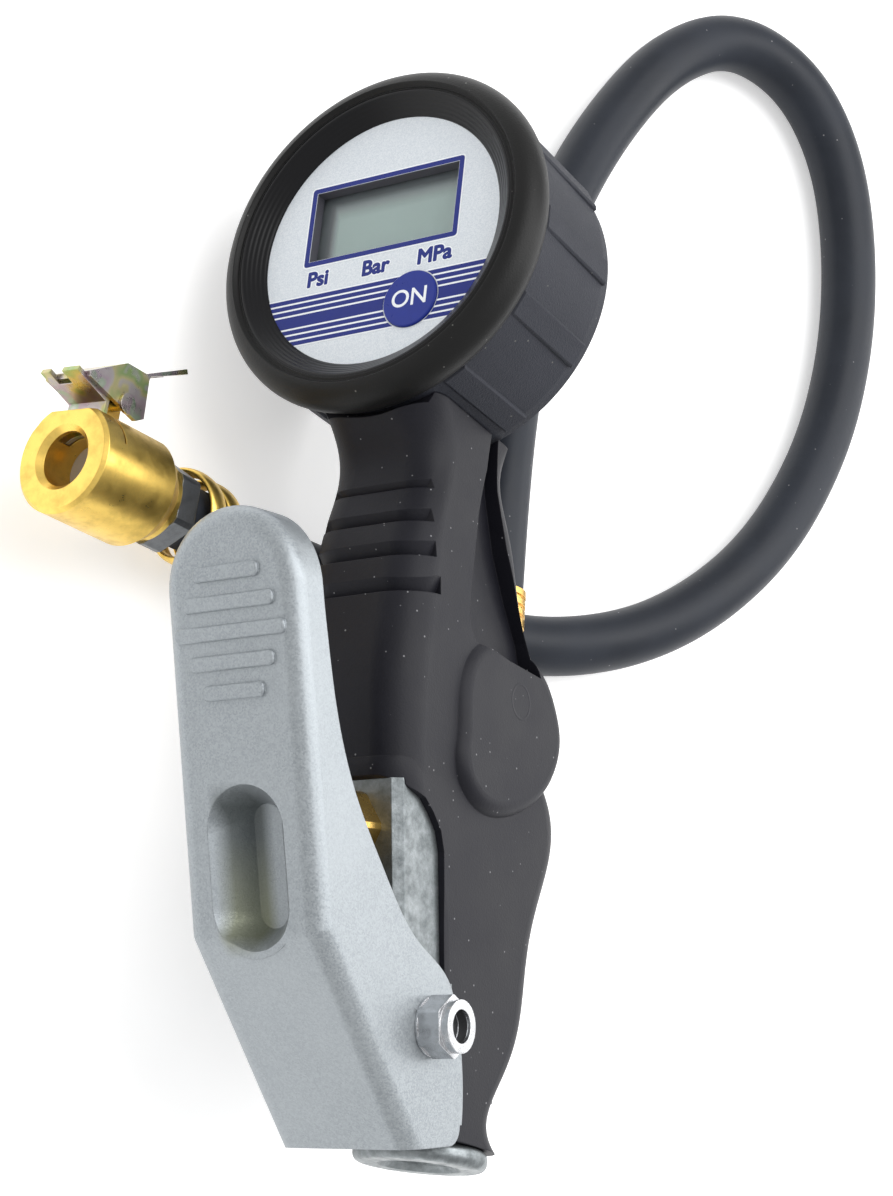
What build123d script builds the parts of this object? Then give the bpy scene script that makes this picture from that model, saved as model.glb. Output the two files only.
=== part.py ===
from build123d import *
import os
from math import cos, pi, radians, sin, tan

# A digital tyre inflator: a pistol-shaped air valve with a gauge on top, a pressed
# steel trigger in front, a rubber hose and a clip-on chuck for the tyre valve.
#
# Two frames are used, both in millimetres.
#
# Tool frame: the tool stands upright, with Z up the grip from the mouth of the air
# inlet, X to the right and Y to the back. The dial and the trigger face -Y.
#
# Row frame: the tool lies at rest on a surface at Z = 0, on the back edge of the
# gauge boot, with its hose on the surface. The grip runs along Y. The whole tool is
# rolled by ROLL about its own length, and all solids are written in this frame.

# ---------------------------------------------------------------- resting pose
ROLL = 30.0                # degrees from lying on its side towards lying on its back
REST_HEIGHT = 39.73        # from the inlet axis up to the lowest point of the boot
PLAN_CENTRE = (-10.63, 105.24)   # middle of the rigid tool in plan, before centring

# ---------------------------------------------------------------- gauge
DIAL_CENTRE = (0, -10.1, 177.1)
DIAL_TILT = 12.0           # the dial leans back from upright
DIAL_R = 28.1              # printed face plate
BEZEL_IN_R = 27.0          # visible dial
BEZEL_OUT_R = 31.2
CASE_R = 29.8
CASE_WALL = 1.8
CASE_BACK = -30.0          # depth of the case behind the dial surface
BOOT_ROLL_R = 4.0          # round roll at the front rim of the boot
BOOT_RING_R = 32.3
BOOT_SIDE_R = 34.4
BOOT_BACK = -32.5
NECK_RIB = 9               # the side rib left out, where the neck meets the boot
LCD_WINDOW = (33.4, 15.6)  # opening in the face plate
LCD_CENTRE = (0, 5.9)
BUTTON_CENTRE = (8.8, -15.0)
BUTTON_R = 6.0
RUNNING_GAP = 0.05         # radial clearance of a running fit
STEM_DEPTH = -19.0         # gauge stem axis behind the dial surface
BATTERY_CENTRE = (0, 8)
POSTS = [(24, 2), (-13.5, 20), (-14, -20)]

# ---------------------------------------------------------------- valve body
INLET_R = 5.9              # drilled and tapped for a 1/4 inch pipe thread
INLET_DEPTH = 14.0
INLET_MOUTH_R = 7.9
INLET_LEAN = 12.0          # the inlet leans: its mouth faces a little to the front
BOSS_R = 12.6              # rim round the mouth
BOSS_RIM = 3.8             # height of that rim
SLEEVED_BOSS_R = 10.6      # the boss inside the grip
PIVOT = (0, -18.1, 25.6)   # trigger pivot, across the body
LUG_X = 12.8               # half width of the lugs beside the pivot
VALVE_Z = 61.3             # height of the valve stem axis
BOX_X = 11.0               # half width of the valve box
BOX_FRONT = -22.5
BOX_BACK = 22.0
BOX_BOTTOM = 37.0
BOX_FOOT = 28.0            # the front half of the box reaches lower
BOX_TOP = 70.0
GALLERY_Z = 84.0           # cross drilling that feeds the gauge and the hose
OUTLET_LEAN = 9.0          # the hose outlet leans back from upright
OUTLET_BASE = (0, 27.1, 92.0)
OUTLET_R = 7.0             # boss of the outlet
OUTLET_REACH = 21.3        # from the boss to where the hose leaves its ferrule

# ---------------------------------------------------------------- trigger
SHEET = 1.4
TRIGGER_X = 14.3           # half width outside
BEND = (-51.6, 41.0)       # (Y, Z) where the front plate bends
PLATE_TOP = (-59.6, 104.0)
PLATE_FOOT = (-25.0, 4.6)
HEAD_TOP_Z = 115.0
DIMPLE_DEPTH = 7.0
DIMPLE_Z = 52.5
CORNER_R = 3.5             # lower rear corner of each flange
RIB_LENGTHS = [13.9, 19.4, 23.4, 18.0, 12.9]
RIB_PITCH = 5.1
RIB_HEIGHT = 2.7
RIB_RAISE = 0.7
RIB_MIDDLE_Z = 92.8

# ---------------------------------------------------------------- pivot hardware
BOLT_R = 3.0
BUSH_R = 4.5
WASHER_T = 0.5
WASHER_R = 5.3
NUT_AF = 10.0
NUT_H = 6.0

# ---------------------------------------------------------------- valve train
STEM_R = 2.5
STEM_TIP_Y = -45.5
GLAND_AF = 13.0
GLAND_FRONT = -33.0
SEAT_Y = 2.0               # rear face of the valve seat
SPRING_R = 3.8
SPRING_WIRE = 0.8
PLUG_FACE_Y = 16.0

# ---------------------------------------------------------------- hose
HOSE_R = 6.5
HOSE_ROUTE = [             # row frame before centring, from the outlet to the chuck
    (26.35, 113.04, 24.51),
    (29.2, 133.9, 22.9),
    (35.0, 158.0, 18.8),
    (44.5, 186.0, 12.4),
    (57.0, 210.0, 7.9),
    (71.0, 231.0, 6.6),
    (86.5, 248.0, 6.5),
    (105.0, 257.0, 6.5),
    (123.5, 250.5, 6.5),
    (134.5, 234.0, 6.5),
    (138.0, 211.0, 6.5),
    (135.5, 183.0, 6.5),
    (126.0, 155.5, 6.5),
    (107.5, 129.5, 6.5),
    (80.0, 111.0, 6.5),
    (50.0, 104.5, 6.5),
    (22.0, 108.5, 6.5),
    (-21.55, 121.7, 6.6),
    (-42.41, 125.38, 17.87),
]
# The hose is rubber of 13 mm, and its free loop is small: these are its real bends.
ARC_SHARE = 0.45

# ---------------------------------------------------------------- chuck
CHUCK_LENGTH = 30.0        # nut and body together
CHUCK_R = 11.0
CHUCK_FLAT = 9.2           # flat under the clip, out from the chuck's axis
CHUCK_BORE_R = 5.4
NUT_LENGTH = 5.2
CHUCK_SEAT = 19.1          # shoulder that the seal rests on, along the chuck
SEAL_R = 5.8               # the seal snaps into a groove at the bottom of the bore
SEAL_T = 2.6
GUARD_TURNS = 2.25
GUARD_PITCH = 6.0
GUARD_CONE = 5.0           # half angle of the guard's taper, in degrees
CLIP_PIN = (21.8, 13.0)    # (along the chuck from the hose end, out from its axis)
JAW_Z = (25.2, 26.2)       # rear and front face of the jaw, along the chuck

parts = {}


# ================================================================ helpers
def spun(points):
    """A solid of revolution about Z from an (r, z) outline."""
    outline = make_face(Polyline(*[(r, 0, z) for r, z in points], close=True))
    return revolve(outline, Axis.Z)


def rod(radius, start, end, axis="Z"):
    """A round rod from start to end along one axis through the origin."""
    length = end - start
    turned = {"X": Rot(0, 90, 0), "Y": Rot(-90, 0, 0), "Z": Rot(0, 0, 0)}[axis]
    return turned * Pos(0, 0, start + length / 2) * Cylinder(radius, length)


def hex_bar(across_flats, start, end, axis="Z"):
    """A hexagonal bar from start to end along one axis through the origin."""
    corner_r = across_flats / 2 / cos(pi / 6)
    bar = extrude(RegularPolygon(corner_r, 6), end - start)
    turned = {"X": Rot(0, 90, 0), "Y": Rot(-90, 0, 0), "Z": Rot(0, 0, 0)}[axis]
    return turned * Pos(0, 0, start) * bar


def block(x, y, z):
    """A box between two limits on each axis."""
    size = (x[1] - x[0], y[1] - y[0], z[1] - z[0])
    middle = ((x[0] + x[1]) / 2, (y[0] + y[1]) / 2, (z[0] + z[1]) / 2)
    return Pos(*middle) * Box(*size)


def side_plate(points, half_width):
    """A plate with a (Y, Z) outline, across the tool from -X to +X."""
    outline = make_face(Polyline(*[(0, y, z) for y, z in points], close=True))
    return extrude(outline, amount=half_width, dir=(1, 0, 0), both=True)


def coil(radius, profile, pitch, height, start_z=0.0, cone=0.0):
    """A wound wire along Z, with its profile drawn as (radial, along the coil)."""
    path = Helix(pitch=pitch, height=height, radius=radius, cone_angle=cone)
    section_plane = Plane(origin=path @ 0, x_dir=(1, 0, 0), z_dir=path % 0)
    return Pos(0, 0, start_z) * sweep(section_plane * profile, path=path, is_frenet=True)


# ================================================================ frames
def gauge_frame():
    """Local frame of the gauge: x right, y up the dial, z out of the dial."""
    lean = radians(DIAL_TILT)
    return Plane(origin=DIAL_CENTRE, x_dir=(1, 0, 0), z_dir=(0, -cos(lean), sin(lean)))


def inlet_frame():
    """Local frame of the air inlet, with z from its mouth into the body."""
    lean = radians(INLET_LEAN)
    return Plane(origin=(0, 0, 0), x_dir=(1, 0, 0), z_dir=(0, sin(lean), cos(lean)))


def outlet_frame():
    """Local frame of the hose outlet, with z along the hose as it leaves."""
    lean = radians(OUTLET_LEAN)
    return Plane(origin=OUTLET_BASE, x_dir=(1, 0, 0), z_dir=(0, sin(lean), cos(lean)))


def plate_frame(z):
    """Local frame on the trigger's front plate at height z, with z out of the plate."""
    rise = PLATE_TOP[1] - BEND[1]
    slope = (PLATE_TOP[0] - BEND[0]) / rise
    y = BEND[0] + slope * (z - BEND[1])
    return Plane(origin=(0, y, z), x_dir=(1, 0, 0), z_dir=(0, -1, slope))


def row_location():
    """Moves a solid from the tool frame to the row frame."""
    roll = radians(ROLL)
    lying = Plane(origin=(0, 0, 0), x_dir=(sin(roll), cos(roll), 0),
                  z_dir=(cos(roll), -sin(roll), 0))
    return centring() * lying.location.inverse()


def centring():
    """Puts the origin at the bottom centre of the rigid tool's box."""
    return Pos(-PLAN_CENTRE[0], -PLAN_CENTRE[1], 0)


def lifted_row_location():
    """The row frame of the tool itself, with the boot's edge on the surface."""
    return Pos(0, 0, REST_HEIGHT) * row_location()


def chuck_frame():
    """Local frame of the chuck: z from the hose end to the nose, x out to the clip."""
    start = Vector(*HOSE_ROUTE[-1])
    along = (start - Vector(*HOSE_ROUTE[-2])).normalized()
    return Plane(origin=start, x_dir=(along.Y, -along.X, 0), z_dir=along)


def keep(name, solid, where):
    """Places a finished piece and stores it under its node's name."""
    parts[name] = where * solid


# ================================================================ gauge
def stem_port(radius, low, high):
    """A round bar on the gauge stem's axis, between two heights up the dial."""
    return Pos(0, (low + high) / 2, STEM_DEPTH) * Rot(90, 0, 0) * Cylinder(radius, high - low)


def gauge_boot():
    """Rubber boot: a rolled rim, faceted sides and an open back."""
    lip_r = BEZEL_OUT_R + 0.05
    outline = Polyline(
        (lip_r, 0, 3.4), (lip_r, 0, -3.2), (CASE_R, 0, -3.2), (CASE_R, 0, CASE_BACK),
        (25.0, 0, CASE_BACK), (25.0, 0, BOOT_BACK), (32.4, 0, BOOT_BACK),
        (33.9, 0, BOOT_BACK + 1.4), (BOOT_SIDE_R, 0, -28.0), (BOOT_SIDE_R + 0.5, 0, -4.5))
    roll = ThreePointArc(
        (BOOT_SIDE_R + 0.5, 0, -4.5),
        (BOOT_RING_R + BOOT_ROLL_R * cos(radians(20)), 0, BOOT_ROLL_R * sin(radians(20))),
        (BOOT_RING_R + 0.3, 0, BOOT_ROLL_R))
    lip = Polyline((BOOT_RING_R + 0.3, 0, BOOT_ROLL_R), (BOOT_RING_R - 0.4, 0, 3.1), (lip_r, 0, 3.4))
    boot = revolve(make_face([outline, roll, lip]), Axis.Z)
    rib = Pos(BOOT_SIDE_R - 0.2, 0, -16.5) * chamfer(Box(2.0, 5.4, 24.0).faces().sort_by(Axis.X)[-1].edges(), 0.4)
    for step in range(12):
        if step != NECK_RIB:
            boot += Rot(0, 0, step * 30) * rib
    return boot - stem_port(8.6, -38.0, -28.0)


def gauge_case():
    """Moulded cup that holds the works, with a battery opening in its back."""
    wall = CASE_R - CASE_WALL
    cup = spun([(0, CASE_BACK), (CASE_R, CASE_BACK), (CASE_R, -3.2), (wall, -3.2),
                (wall, CASE_BACK + 2.0), (0, CASE_BACK + 2.0)])
    for x, y in POSTS:
        post = Pos(x, y, -18.6) * (Cylinder(2.6, 18.8) - Pos(0, 0, 4) * Cylinder(0.85, 12))
        cup += post
    cup -= Pos(*BATTERY_CENTRE, CASE_BACK + 1) * Cylinder(14.0, 4)
    return cup - stem_port(4.85, -31.0, -26.0)


def gauge_bezel():
    """Snap-in ring with the black cone that frames the dial."""
    return spun([(BEZEL_IN_R, -1.0), (BEZEL_IN_R, 0.15), (30.6, 3.3), (BEZEL_OUT_R, 3.3),
                 (BEZEL_OUT_R, -3.15), (28.2, -3.15), (28.2, -1.3), (BEZEL_IN_R, -1.3)])


def dial_face():
    """Printed face plate with the display opening and the button hole."""
    face = Pos(0, 0, -1.9) * Cylinder(DIAL_R, 1.1)
    face += Pos(0, 0, -0.75) * Cylinder(BEZEL_IN_R - 0.05, 1.4)
    face -= Pos(*LCD_CENTRE, -1) * Box(*LCD_WINDOW, 6)
    return face - Pos(*BUTTON_CENTRE, -1) * Cylinder(BUTTON_R + RUNNING_GAP, 6)


def lcd_window():
    """Clear pane behind the face plate."""
    return Pos(*LCD_CENTRE, -2.85) * Box(LCD_WINDOW[0] + 3, LCD_WINDOW[1] + 3, 0.7)


def lcd_panel():
    """Liquid crystal cell."""
    return Pos(*LCD_CENTRE, -4.4) * Box(LCD_WINDOW[0] + 5, LCD_WINDOW[1] + 5, 2.0)


def lcd_contact_strips():
    """Two conductive rubber strips from the cell to the circuit board."""
    strips = [Pos(0, LCD_CENTRE[1] + side * 8.6, -6.4) * Box(32, 1.8, 2.0) for side in (-1, 1)]
    return Part() + strips


def circuit_board():
    """Round board that stands on the posts of the case."""
    board = Pos(0, 0, -8.3) * Cylinder(26.5, 1.6)
    for x, y in POSTS:
        board -= Pos(x, y, -8.3) * Cylinder(1.1, 2)
    return board


def board_screws():
    """Three pan head screws that hold the board to the posts."""
    screw = Pos(0, 0, -6.9) * Cylinder(1.9, 1.2) + Pos(0, 0, -11.5) * Cylinder(0.8, 8.0)
    screw -= Pos(0, 0, -6.4) * (Box(2.4, 0.5, 0.6) + Box(0.5, 2.4, 0.6))
    return Part() + [Pos(x, y, 0) * screw for x, y in POSTS]


def on_button():
    """Push button: a domed cap with a flange that keeps it behind the face."""
    x, y = BUTTON_CENTRE
    cap = Pos(0, 0, -1.5) * Cylinder(BUTTON_R, 3.9)
    cap = fillet(cap.edges().sort_by(Axis.Z)[-1], 0.35)
    cap += Pos(0, 0, -3.0) * Cylinder(BUTTON_R + 0.8, 0.9)
    cap += Pos(0, 0, -3.9) * Cylinder(3.0, 1.0)
    return Pos(x, y, 0) * cap


def button_switch():
    """Tactile switch on the board behind the button."""
    x, y = BUTTON_CENTRE
    base = Pos(x, y, -6.65) * Box(6.0, 6.0, 1.7)
    return base + Pos(x, y, -5.5) * Cylinder(1.6, 0.6)


def battery():
    """Coin cell."""
    cell = Cylinder(12.2, 4.6)
    return Pos(*BATTERY_CENTRE, -21.0) * chamfer(cell.edges(), 0.4)


def battery_holder():
    """Plastic tray that carries the coin cell and stands on the case's back."""
    tray = Pos(0, 0, -22.0) * Cylinder(13.6, 12.0) - Pos(0, 0, -23.1) * Cylinder(12.35, 10.2)
    tray += Pos(0, 0, -27.25) * (Cylinder(15.3, 1.5) - Cylinder(12.35, 2.0))
    tray -= Pos(0, 0, -17.0) * Cylinder(9.0, 3.0)
    return Pos(*BATTERY_CENTRE, 0) * tray


def battery_contact():
    """Sprung strip with a pressed bump that touches the coin cell."""
    strip = Pos(0, 0, -18.15) * Box(5.0, 21.0, 0.3) + Pos(0, 0, -18.5) * Cylinder(1.5, 0.4)
    return Pos(*BATTERY_CENTRE, 0) * strip


def battery_cover():
    """Round cover in the back of the case, turned with a coin."""
    x, y = BATTERY_CENTRE
    cover = Pos(x, y, CASE_BACK + 1.0) * Cylinder(13.9, 2.0)
    cover += Pos(x, y, CASE_BACK + 4.3) * (Cylinder(11.5, 4.6) - Cylinder(10.0, 5.0))
    return cover - Pos(x, y, CASE_BACK + 0.3) * Box(14.0, 1.8, 1.4)


def pressure_sensor():
    """Brass capsule with the silicon sensor, screwed on the gauge stem."""
    capsule = stem_port(7.2, -25.9, -18.0)
    return capsule - stem_port(1.5, -26.0, -21.0)


def gauge_stem():
    """Brass stem from the valve body into the case."""
    stem = stem_port(4.8, -50.0, -25.95)
    collar = Pos(0, -39.5, STEM_DEPTH) * Rot(90, 0, 0) * Pos(0, 0, -2.5) * extrude(
        RegularPolygon(7 / cos(pi / 6), 6), 5.0)
    return stem + collar - stem_port(1.5, -51.0, -25.0)


def gauge_seal_washer():
    """Copper washer under the collar of the gauge stem."""
    return stem_port(7.0, -43.0, -42.0) - stem_port(4.85, -44.0, -41.0)


# ================================================================ valve body
def body_outside():
    """The casting without its drillings."""
    rim = rod(BOSS_R, 0, BOSS_RIM)
    rim = fillet(rim.edges().filter_by(GeomType.CIRCLE), 1.6)
    boss = inlet_frame() * (rim + rod(SLEEVED_BOSS_R, BOSS_RIM - 1.0, 15))
    column = block((-9, 9), (-11.5, 12), (11, BOX_TOP))
    shoulder = block((-9, 9), (-14.5, 12), (BOX_TOP, 96))
    box = block((-BOX_X, BOX_X), (BOX_FRONT, BOX_BACK), (BOX_BOTTOM, BOX_TOP))
    box = chamfer(box.edges().filter_by(Axis.Z).group_by(Axis.Y)[-1], 3.4)
    box += block((-BOX_X, BOX_X), (BOX_FRONT, 5), (BOX_FOOT, BOX_BOTTOM + 1))
    for side in (-1, 1):
        box -= Pos(side * BOX_X, BOX_FRONT, 0) * Rot(0, 0, 45) * Box(2.3, 2.3, 200)
    x, y, z = PIVOT
    lug = Pos(0, y, z) * rod(7.6, -LUG_X, LUG_X, "X")
    cheek = block((-LUG_X, LUG_X), (y, -8.2), (z - 7.6, z + 7.6))
    outlet = outlet_frame() * rod(OUTLET_R, -14, 0)
    bridge = block((-6.5, 6.5), (5, 25), (78, 90))
    neck = gauge_frame() * stem_port(7.0, -88.0, -43.0)
    return boss + column + shoulder + box + lug + cheek + outlet + bridge + neck


def valve_body():
    """Zinc casting with the inlet, the valve bore, the gallery and two ports."""
    casting = body_outside()
    mouth = Pos(0, 0, 1.0) * Cone(INLET_MOUTH_R, INLET_R, 2.0)
    casting -= inlet_frame() * (rod(INLET_R, -1, INLET_DEPTH) + mouth)
    casting -= inlet_frame() * rod(INLET_R - 0.2, INLET_DEPTH - 1.0, INLET_DEPTH + 3.0)
    casting -= Pos(0, 5.6, 0) * rod(2.4, 10, VALVE_Z)
    level = Pos(0, 0, VALVE_Z)
    casting -= level * rod(6.0, BOX_FRONT - 1, -11.5, "Y")
    casting -= level * rod(4.2, -12.0, SEAT_Y - 2.0, "Y")
    casting -= level * rod(3.0, -1.0, SEAT_Y + 1.0, "Y")
    casting -= level * rod(6.5, SEAT_Y, PLUG_FACE_Y + 0.5, "Y")
    casting -= level * rod(7.0, PLUG_FACE_Y, BOX_BACK + 1, "Y")
    casting -= Pos(0, -6.0, 0) * rod(2.2, VALVE_Z, GALLERY_Z)
    casting -= Pos(0, 0, GALLERY_Z) * rod(2.2, -16.0, 26.0, "Y")
    casting -= gauge_frame() * stem_port(1.8, -95.5, -50.0)
    casting -= gauge_frame() * stem_port(4.8, -50.0, -42.0)
    casting -= outlet_frame() * (Pos(0, 0, -5) * Cylinder(4.8, 11) + Pos(0, 0, -6) * Cylinder(2.5, 8))
    x, y, z = PIVOT
    return casting - Pos(0, y, z) * rod(BUSH_R, -14, 14, "X")


def gallery_plug():
    """Brass plug that closes the front end of the cross drilling."""
    plug = rod(2.2, -14.5, -12.0, "Y") - rod(1.0, -15, -13.2, "Y")
    return Pos(0, 0, GALLERY_Z) * plug


def inlet_filter():
    """Sintered bronze filter at the bottom of the inlet."""
    cup = rod(INLET_R - 0.2, INLET_DEPTH, INLET_DEPTH + 2.5) - rod(3.2, INLET_DEPTH + 1, INLET_DEPTH + 3)
    return inlet_frame() * cup


# ================================================================ grip
def section(z, front, back, half_x, corner):
    """One level of the grip: a rounded rectangle."""
    rounded = RectangleRounded(2 * half_x, back - front, corner)
    return Pos(0, (front + back) / 2, z) * rounded


def grip_sleeve():
    """Soft moulded grip over the casting."""
    upper = loft([section(*level) for level in (
        (66.5, -21.0, 29.0, 11.8, 6.0), (70, -23.0, 32.5, 12.3, 7.0), (76, -23.4, 34.6, 12.6, 7.2),
        (86, -23.3, 34.6, 12.9, 7.5), (97, -21.8, 28.5, 13.2, 7.8), (109, -19.2, 23.2, 13.3, 7.5),
        (120, -15.4, 20.8, 13.0, 7.0), (132, -10.8, 18.0, 12.7, 7.0), (154, -8.0, 12.0, 12.7, 7.0))])
    lower = loft([section(*level) for level in (
        (0.2, -15, 13.6, 12.5, 6.0), (20, -15, 18.5, 12.3, 6.5), (40, -15, 26.2, 12.2, 7.0),
        (50, -16, 30.9, 12.3, 7.0), (61, -20, 36.0, 12.4, 7.0), (68, -23, 35.2, 12.4, 7.0),
        (74, -23.5, 31.0, 12.3, 7.0))])
    grip = upper + lower + side_lobe()
    grip -= side_plate([(-40, 73), (-23.5, 70.5), (-19.4, 68.2), (-15.6, 66.6), (-13.0, 64.1),
                        (-10.5, 60.9), (-9.5, 57.1), (-9.4, -5), (-40, -5)], 20)
    grip -= inlet_frame() * block((-20, 20), (-30, 30), (-20, BOSS_RIM))
    grip -= gauge_frame() * Pos(0, 0, -15) * Cylinder(BOOT_SIDE_R + 0.6, 60)
    grip -= gauge_frame() * Cylinder(BOOT_RING_R + BOOT_ROLL_R + 0.1, 12)
    grip -= gauge_frame() * block((-20, 20), (-37.5, 60), (-80, BOOT_BACK - 1))
    grip -= hose_channel()
    for side in (-1, 1):
        grip -= side_scoop(side)
    for level in range(4):
        grip -= finger_groove(level)
    grip -= body_outside()
    grip -= gauge_frame() * stem_port(8.3, -43.1, -28.0)
    return grip - Pos(0, 0, GALLERY_Z) * rod(2.3, -15.5, -14.5, "Y")


def side_lobe():
    """Rounded bulge on both flanges, where the palm rests."""
    outline = [(-5.6, 78), (-3.6, 69.4), (2.0, 65.4), (9.5, 64.3), (18, 65.8), (26.5, 69.6), (31.8, 74.8),
               (34.2, 81.5), (32.6, 88), (29.0, 93.5), (20.0, 98.5), (8.0, 99.5), (-1.0, 95.5), (-4.8, 88)]
    edge = Spline(*[(0, y, z) for y, z in outline], periodic=True)
    lobe = extrude(make_face(edge), amount=14.4, dir=(1, 0, 0), both=True)
    return fillet([e for e in lobe.edges() if abs(abs((e @ 0.5).X) - 14.4) < 0.01], 3.2)


def hose_channel():
    """Open channel down the back of the grip for the ferrule and the hose."""
    tube = Pos(0, 0, 32) * Cylinder(8.3, 64)
    mouth = Pos(0, 10, 32) * Box(16.6, 20.0, 64)
    return outlet_frame() * (tube + mouth)


def side_scoop(side):
    """Triangular hollow in each flank, between the front of the grip and the cheek."""
    outline = [(10.4, 146), (7.9, 132.7), (4.1, 122.8), (0.4, 109), (-0.4, 104), (0.0, 100), (1.8, 97.6),
               (12.7, 95.0), (24.6, 93.0), (22.6, 100), (18.4, 107.8), (14.4, 117.3), (11.9, 128.8), (11.7, 146)]
    wedge = make_face(Polyline(*[(0, y, z) for y, z in outline], close=True))
    hollow = extrude(wedge, amount=6.0, dir=(side, 0, 0))
    return Pos(side * 9.6, 0, 0) * hollow


def finger_groove(level):
    """A groove round the front of the grip: sharp and deep below, fading upwards."""
    front, half_x, end, z = [(-12.7, 12.9, -9.8, 127.2), (-15.3, 13.0, -11.6, 120.2),
                             (-17.8, 13.2, -12.0, 113.3), (-19.8, 13.3, -10.9, 106.3)][level]
    slab = extrude(section(z - 1.5, front - 3, 15, half_x + 3, 7.0), 3.4)
    core = loft([section(z - 1.6, front + 1.5, 15, half_x - 1.5, 5.5), section(z + 2.0, front, 15, half_x, 7.0)])
    return (slab - core) & block((-20, 20), (-40, end), (z - 4, z + 4))


# ================================================================ trigger
def along_front(inset):
    """Foot, bend and top of the front plate, set in by a distance."""
    upper = Vector(PLATE_TOP[0] - BEND[0], PLATE_TOP[1] - BEND[1]).normalized()
    lower = Vector(BEND[0] - PLATE_FOOT[0], BEND[1] - PLATE_FOOT[1]).normalized()
    n_upper = Vector(upper.Y, -upper.X)
    n_lower = Vector(lower.Y, -lower.X)
    bend = Vector(*BEND) + (n_upper + n_lower) * (inset / (1 + n_upper.dot(n_lower)))
    top = bend + upper * (117.0 - bend.Y) * (1 / upper.Y)
    foot = bend - lower * (bend.Y - PLATE_FOOT[1]) * (1 / lower.Y)
    return [(v.X, v.Y) for v in (foot, bend, top)]


def trigger_blank(inset, foot_drop, rear_shift, edge_r):
    """The pressed tray as a solid, with rounded edges round its front plate."""
    foot, bend, top = along_front(inset)
    low = (foot[0] + foot_drop * 0.73, foot[1] - foot_drop)
    rear = [(-50.4, 117), (-51.2, 104), (-49.3, 91), (-46.4, 78), (-40.7, 64.5), (-32.5, 52.6),
            (-21.6, 40.5), (-11.6, 33.6), (-8.2, 24.5), (-7.4, 13.0), (-8.6, PLATE_FOOT[1])]
    rear = [(y + rear_shift, z) for y, z in rear]
    front = Polyline(*[(0, y, z) for y, z in (rear[-1], low, bend, top, rear[0])])
    if foot_drop:
        front = Polyline(*[(0, y, z) for y, z in
                           (rear[-1], (rear[-1][0], low[1]), low, bend, top, rear[0])])
    back = Spline(*[(0, y, z) for y, z in rear])
    half = TRIGGER_X - inset
    blank = extrude(make_face([front, back]), amount=half, dir=(1, 0, 0), both=True)
    head = Pos(0, -40, HEAD_TOP_Z - TRIGGER_X) * Rot(90, 0, 0) * Cylinder(half, 80)
    stem = block((-half, half), (-80, 40), (-20, HEAD_TOP_Z - TRIGGER_X))
    blank = blank & (head + stem)
    rim = [edge for edge in blank.edges() if runs_on_front(edge, foot, bend, top, low[1])]
    return fillet(rim, edge_r)


def runs_on_front(edge, foot, bend, top, low_z):
    """True for the long edges and the head edge of the front plate."""
    for place in (0.0, 0.5, 1.0):
        point = edge @ place
        a, b = (bend, top) if point.Z > bend[1] else (foot, bend)
        share = (point.Z - a[1]) / (b[1] - a[1])
        if abs(a[0] + share * (b[0] - a[0]) - point.Y) > 0.05:
            return False
    return (edge @ 0.5).Z > low_z + 0.5


def trigger_lever():
    """Pressed steel trigger with embossed ribs and a dimple that meets the stem."""
    lever = trigger_blank(0.0, 0.0, 0.0, 3.4) - trigger_blank(SHEET, 12.0, 12.0, 2.0)
    where = plate_frame(DIMPLE_Z)
    deep = Pos(0, 0, -DIMPLE_DEPTH)
    hollow = loft([Pos(0, 0, 0.6) * SlotOverall(29.6, 17.0, rotation=90),
                   deep * SlotOverall(21.5, 5.8, rotation=90)])
    shell = loft([Pos(0, 0, -0.7) * SlotOverall(30.8, 18.2, rotation=90),
                  Pos(0, 0, -DIMPLE_DEPTH - SHEET) * SlotOverall(24.4, 8.2, rotation=90)])
    lever = lever + where * shell - where * hollow
    for index, length in enumerate(RIB_LENGTHS):
        z = RIB_MIDDLE_Z + RIB_PITCH * (2 - index)
        rib = extrude(RectangleRounded(length, RIB_HEIGHT, 1.0), RIB_RAISE + 0.4)
        rib = chamfer(rib.edges().group_by(Axis.Z)[-1], 0.3)
        lever += plate_frame(z) * Pos(0, 0, -0.4) * rib
    lever -= flange_corner()
    x, y, z = PIVOT
    return lever - Pos(0, y, z) * rod(BUSH_R + RUNNING_GAP, -20, 20, "X")


def flange_corner():
    """What rounds off the lower rear corner of both flanges."""
    rear, low = -8.6, PLATE_FOOT[1]
    corner = block((-20, 20), (rear - CORNER_R, 0), (low - 1, low + CORNER_R))
    return corner - Pos(0, rear - CORNER_R, low + CORNER_R) * rod(CORNER_R, -20, 20, "X")


# ================================================================ pivot hardware
def pivot_bush():
    """Hardened bush that the trigger turns on."""
    x, y, z = PIVOT
    half = TRIGGER_X + RUNNING_GAP
    return Pos(0, y, z) * (rod(BUSH_R, -half, half, "X") - rod(BOLT_R, -20, 20, "X"))


def pivot_washers():
    """Two washers beside the trigger's flanges."""
    x, y, z = PIVOT
    inner = TRIGGER_X + RUNNING_GAP
    disc = rod(WASHER_R, inner, inner + WASHER_T, "X") - rod(BOLT_R, 0, 20, "X")
    return Pos(0, y, z) * (Part() + [disc, Rot(0, 180, 0) * disc])


def pivot_bolt():
    """Hexagon head bolt through the bush."""
    x, y, z = PIVOT
    seat = TRIGGER_X + RUNNING_GAP + WASHER_T
    head = hex_bar(NUT_AF, -seat - 4.0, -seat, "X")
    head = head & rod(5.55, -seat - 5, 0, "X")
    return Pos(0, y, z) * (head + rod(BOLT_R, -seat, seat + 3.4, "X"))


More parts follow.
